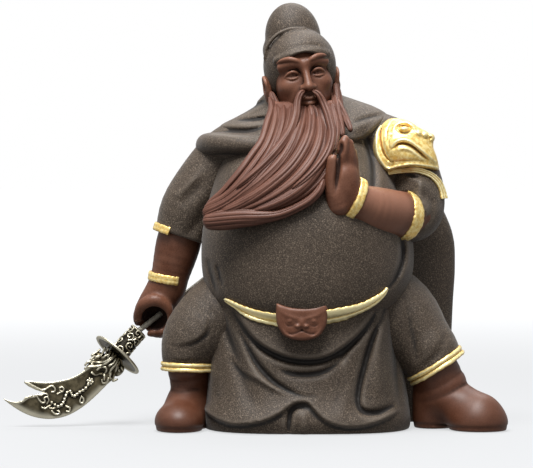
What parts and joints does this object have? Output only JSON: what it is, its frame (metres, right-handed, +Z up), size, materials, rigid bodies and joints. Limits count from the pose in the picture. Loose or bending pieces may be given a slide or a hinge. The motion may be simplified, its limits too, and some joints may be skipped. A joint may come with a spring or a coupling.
{
  "type": "warrior god figurine",
  "caption": "Stocky bearded warrior god figurine in robe, cape and cap, one hand raised to the beard, the other holding a short crescent-bladed glaive.",
  "frame": {"origin": "on the ground at the middle of the flat underside, below the belly", "axes": "+Z up, the figure faces -Y, +X to the right of someone who looks at its face"},
  "size_m": [0.1811, 0.0766, 0.155],
  "materials": {
    "fired_clay": "unglazed fired clay, fine sandy speckle, smooth red-brown clay for skin and boots, gilt trim",
    "cast_bronze": "antique bronze plating, dark in the hollows and rubbed bright on the edges",
    "rod_metal": "thin plain rod, dull"
  },
  "bodies": {
    "root": {"figure": "fired_clay", "glaive_head": "cast_bronze", "glaive_shaft": "rod_metal"}
  },
  "joints": []
}
